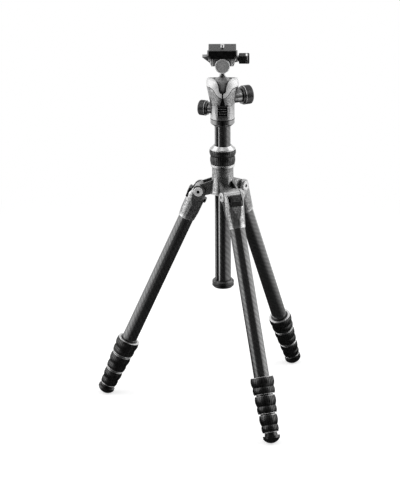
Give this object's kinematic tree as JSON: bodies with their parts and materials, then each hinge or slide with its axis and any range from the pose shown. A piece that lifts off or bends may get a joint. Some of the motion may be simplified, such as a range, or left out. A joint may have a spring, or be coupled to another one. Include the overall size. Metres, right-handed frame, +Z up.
{
  "type": "travel tripod with ball head",
  "caption": "Folding travel tripod with telescoping legs, twist locks, a centre column, a ball head with a drop notch, and a dovetail quick-release camera plate.",
  "frame": {"origin": "on the floor, in the middle of the tripod's bounding box as it stands", "axes": "+Z up along the centre column, -Y towards the viewer of the picture, +X to the right"},
  "size_m": [0.3486, 0.3726, 0.6164],
  "materials": {
    "carbon_fibre": "satin",
    "black_rubber": "matte",
    "cast_grey": "satin",
    "satin_silver": "satin",
    "black_plastic": "matte",
    "dark_anodised": "satin",
    "black_anodised": "satin",
    "steel": "satin"
  },
  "bodies": {
    "spider": {"spider": "cast_grey", "pivot_bolts": "satin_silver", "column_bush": "black_plastic"},
    "left_leg": {"left_leg_casting": "cast_grey", "left_leg_tube_1": "carbon_fibre", "left_leg_lock_bush_1": "black_plastic"},
    "left_leg_catch": {"left_leg_angle_catch": "black_plastic"},
    "left_leg_lock_1": {"left_leg_lock_collar_1": "black_rubber"},
    "left_leg_section_2": {"left_leg_tube_2": "carbon_fibre", "left_leg_lock_bush_2": "black_plastic"},
    "left_leg_lock_2": {"left_leg_lock_collar_2": "black_rubber"},
    "left_leg_section_3": {"left_leg_tube_3": "carbon_fibre", "left_leg_lock_bush_3": "black_plastic"},
    "left_leg_lock_3": {"left_leg_lock_collar_3": "black_rubber"},
    "left_leg_section_4": {"left_leg_tube_4": "carbon_fibre", "left_leg_foot": "black_rubber"},
    "front_leg": {"front_leg_casting": "cast_grey", "front_leg_tube_1": "carbon_fibre", "front_leg_lock_bush_1": "black_plastic"},
    "front_leg_catch": {"front_leg_angle_catch": "black_plastic"},
    "front_leg_lock_1": {"front_leg_lock_collar_1": "black_rubber"},
    "front_leg_section_2": {"front_leg_tube_2": "carbon_fibre", "front_leg_lock_bush_2": "black_plastic"},
    "front_leg_lock_2": {"front_leg_lock_collar_2": "black_rubber"},
    "front_leg_section_3": {"front_leg_tube_3": "carbon_fibre", "front_leg_lock_bush_3": "black_plastic"},
    "front_leg_lock_3": {"front_leg_lock_collar_3": "black_rubber"},
    "front_leg_section_4": {"front_leg_tube_4": "carbon_fibre", "front_leg_foot": "black_rubber"},
    "rear_leg": {"rear_leg_casting": "cast_grey", "rear_leg_tube_1": "carbon_fibre", "rear_leg_lock_bush_1": "black_plastic"},
    "rear_leg_catch": {"rear_leg_angle_catch": "black_plastic"},
    "rear_leg_lock_1": {"rear_leg_lock_collar_1": "black_rubber"},
    "rear_leg_section_2": {"rear_leg_tube_2": "carbon_fibre", "rear_leg_lock_bush_2": "black_plastic"},
    "rear_leg_lock_2": {"rear_leg_lock_collar_2": "black_rubber"},
    "rear_leg_section_3": {"rear_leg_tube_3": "carbon_fibre", "rear_leg_lock_bush_3": "black_plastic"},
    "rear_leg_lock_3": {"rear_leg_lock_collar_3": "black_rubber"},
    "rear_leg_section_4": {"rear_leg_tube_4": "carbon_fibre", "rear_leg_foot": "black_rubber"},
    "column": {"column_tube": "carbon_fibre", "column_end_cap": "black_rubber", "column_top_plate": "dark_anodised", "pan_base": "dark_anodised"},
    "column_lock": {"column_lock_collar": "black_rubber", "column_lock_ring": "satin_silver"},
    "head": {"head_housing": "cast_grey", "lip_collar": "satin_silver"},
    "ball_lock": {"ball_lock_knob": "black_rubber"},
    "pan_lock": {"pan_lock_knob": "black_rubber"},
    "ball": {"ball": "dark_anodised"},
    "stem": {"ball_stem": "satin_silver"},
    "clamp": {"clamp_barrel": "satin_silver", "clamp_body": "cast_grey"},
    "jaw": {"clamp_jaw": "cast_grey"},
    "clamp_knob": {"clamp_knob": "black_rubber"},
    "plate": {"quick_release_plate": "black_anodised"},
    "camera_screw": {"camera_screw": "steel"}
  },
  "joints": [
    {"name": "left_leg_swing", "type": "hinge", "parent": "spider", "child": "left_leg", "pos_m": [0.00041, 0.01766, 0.37162], "axis": [0.1278, 0.9918, 0], "range_deg": [-24, 135]},
    {"name": "left_leg_catch_pull", "type": "slide", "parent": "left_leg", "child": "left_leg_catch", "axis": [-0.9044, 0.1165, 0.4106], "range_m": [0, 0.003]},
    {"name": "left_leg_lock_1_twist", "type": "hinge", "parent": "left_leg", "child": "left_leg_lock_1", "pos_m": [0.00041, 0.01766, 0.37162], "axis": [-0.4072, 0.0525, -0.9118], "range_deg": [0, 90]},
    {"name": "left_leg_section_2_extend", "type": "slide", "parent": "left_leg", "child": "left_leg_section_2", "axis": [-0.4072, 0.0525, -0.9118], "range_m": [0, 0.24]},
    {"name": "left_leg_lock_2_twist", "type": "hinge", "parent": "left_leg_section_2", "child": "left_leg_lock_2", "pos_m": [0.00041, 0.01766, 0.37162], "axis": [-0.4072, 0.0525, -0.9118], "range_deg": [0, 90]},
    {"name": "left_leg_section_3_extend", "type": "slide", "parent": "left_leg_section_2", "child": "left_leg_section_3", "axis": [-0.4072, 0.0525, -0.9118], "range_m": [0, 0.24]},
    {"name": "left_leg_lock_3_twist", "type": "hinge", "parent": "left_leg_section_3", "child": "left_leg_lock_3", "pos_m": [0.00041, 0.01766, 0.37162], "axis": [-0.4072, 0.0525, -0.9118], "range_deg": [0, 90]},
    {"name": "left_leg_section_4_extend", "type": "slide", "parent": "left_leg_section_3", "child": "left_leg_section_4", "axis": [-0.4072, 0.0525, -0.9118], "range_m": [0, 0.24]},
    {"name": "front_leg_swing", "type": "hinge", "parent": "spider", "child": "front_leg", "pos_m": [0.05329, -0.02268, 0.37162], "axis": [-0.9228, -0.3853, 0], "range_deg": [-24, 135]},
    {"name": "front_leg_catch_pull", "type": "slide", "parent": "front_leg", "child": "front_leg_catch", "axis": [0.3513, -0.8414, 0.4106], "range_m": [0, 0.003]},
    {"name": "front_leg_lock_1_twist", "type": "hinge", "parent": "front_leg", "child": "front_leg_lock_1", "pos_m": [0.05329, -0.02268, 0.37162], "axis": [0.1582, -0.3789, -0.9118], "range_deg": [0, 90]},
    {"name": "front_leg_section_2_extend", "type": "slide", "parent": "front_leg", "child": "front_leg_section_2", "axis": [0.1582, -0.3789, -0.9118], "range_m": [0, 0.24]},
    {"name": "front_leg_lock_2_twist", "type": "hinge", "parent": "front_leg_section_2", "child": "front_leg_lock_2", "pos_m": [0.05329, -0.02268, 0.37162], "axis": [0.1582, -0.3789, -0.9118], "range_deg": [0, 90]},
    {"name": "front_leg_section_3_extend", "type": "slide", "parent": "front_leg_section_2", "child": "front_leg_section_3", "axis": [0.1582, -0.3789, -0.9118], "range_m": [0, 0.24]},
    {"name": "front_leg_lock_3_twist", "type": "hinge", "parent": "front_leg_section_3", "child": "front_leg_lock_3", "pos_m": [0.05329, -0.02268, 0.37162], "axis": [0.1582, -0.3789, -0.9118], "range_deg": [0, 90]},
    {"name": "front_leg_section_4_extend", "type": "slide", "parent": "front_leg_section_3", "child": "front_leg_section_4", "axis": [0.1582, -0.3789, -0.9118], "range_m": [0, 0.24]},
    {"name": "rear_leg_swing", "type": "hinge", "parent": "spider", "child": "rear_leg", "pos_m": [0.06178, 0.04328, 0.37162], "axis": [0.7951, -0.6065, 0], "range_deg": [-24, 135]},
    {"name": "rear_leg_catch_pull", "type": "slide", "parent": "rear_leg", "child": "rear_leg_catch", "axis": [0.5531, 0.725, 0.4106], "range_m": [0, 0.003]},
    {"name": "rear_leg_lock_1_twist", "type": "hinge", "parent": "rear_leg", "child": "rear_leg_lock_1", "pos_m": [0.06178, 0.04328, 0.37162], "axis": [0.249, 0.3264, -0.9118], "range_deg": [0, 90]},
    {"name": "rear_leg_section_2_extend", "type": "slide", "parent": "rear_leg", "child": "rear_leg_section_2", "axis": [0.249, 0.3264, -0.9118], "range_m": [0, 0.24]},
    {"name": "rear_leg_lock_2_twist", "type": "hinge", "parent": "rear_leg_section_2", "child": "rear_leg_lock_2", "pos_m": [0.06178, 0.04328, 0.37162], "axis": [0.249, 0.3264, -0.9118], "range_deg": [0, 90]},
    {"name": "rear_leg_section_3_extend", "type": "slide", "parent": "rear_leg_section_2", "child": "rear_leg_section_3", "axis": [0.249, 0.3264, -0.9118], "range_m": [0, 0.24]},
    {"name": "rear_leg_lock_3_twist", "type": "hinge", "parent": "rear_leg_section_3", "child": "rear_leg_lock_3", "pos_m": [0.06178, 0.04328, 0.37162], "axis": [0.249, 0.3264, -0.9118], "range_deg": [0, 90]},
    {"name": "rear_leg_section_4_extend", "type": "slide", "parent": "rear_leg_section_3", "child": "rear_leg_section_4", "axis": [0.249, 0.3264, -0.9118], "range_m": [0, 0.24]},
    {"name": "column_raise", "type": "slide", "parent": "spider", "child": "column", "axis": [0, 0, 1], "range_m": [-0.033, 0.15]},
    {"name": "column_lock_twist", "type": "hinge", "parent": "spider", "child": "column_lock", "pos_m": [0.03849, 0.01275, 0.41582], "axis": [0, 0, 1], "range_deg": [0, 90]},
    {"name": "head_pan", "type": "hinge", "parent": "column", "child": "head", "pos_m": [0.03849, 0.01275, 0.49432], "axis": [0, 0, 1], "continuous": true},
    {"name": "ball_lock_turn", "type": "hinge", "parent": "head", "child": "ball_lock", "pos_m": [0.03849, 0.01275, 0.52782], "axis": [0.9063, 0.4226, 0], "range_deg": [0, 270]},
    {"name": "pan_lock_turn", "type": "hinge", "parent": "head", "child": "pan_lock", "pos_m": [0.03849, 0.01275, 0.50762], "axis": [-0.9272, 0.3746, 0], "range_deg": [0, 270]},
    {"name": "ball_side_tilt", "type": "hinge", "parent": "head", "child": "ball", "pos_m": [0.03849, 0.01275, 0.54552], "axis": [0, 1, 0], "range_deg": [-18, 18]},
    {"name": "ball_front_tilt", "type": "hinge", "parent": "ball", "child": "stem", "pos_m": [0.03849, 0.01275, 0.54552], "axis": [1, 0, 0], "range_deg": [-14, 90]},
    {"name": "clamp_swivel", "type": "hinge", "parent": "stem", "child": "clamp", "pos_m": [0.03849, 0.01275, 0.54552], "axis": [0, 0, 1], "continuous": true},
    {"name": "clamp_knob_turn", "type": "hinge", "parent": "jaw", "child": "clamp_knob", "pos_m": [0.03849, 0.01275, 0.59322], "axis": [1, 0, 0], "range_deg": [0, 1080]},
    {"name": "jaw_slide", "type": "slide", "parent": "clamp", "child": "jaw", "axis": [1, 0, 0], "range_m": [0, 0.0038]},
    {"name": "plate_slide", "type": "slide", "parent": "clamp", "child": "plate", "axis": [0, -1, 0], "range_m": [0, 0.052]},
    {"name": "camera_screw_turn", "type": "hinge", "parent": "plate", "child": "camera_screw", "pos_m": [0.03849, 0.01275, 0.61142], "axis": [0, 0, 1], "continuous": true}
  ],
  "couplings": [
    {"joint": "jaw_slide", "follows": "clamp_knob_turn", "m_per_rad": 0.00019894}
  ]
}
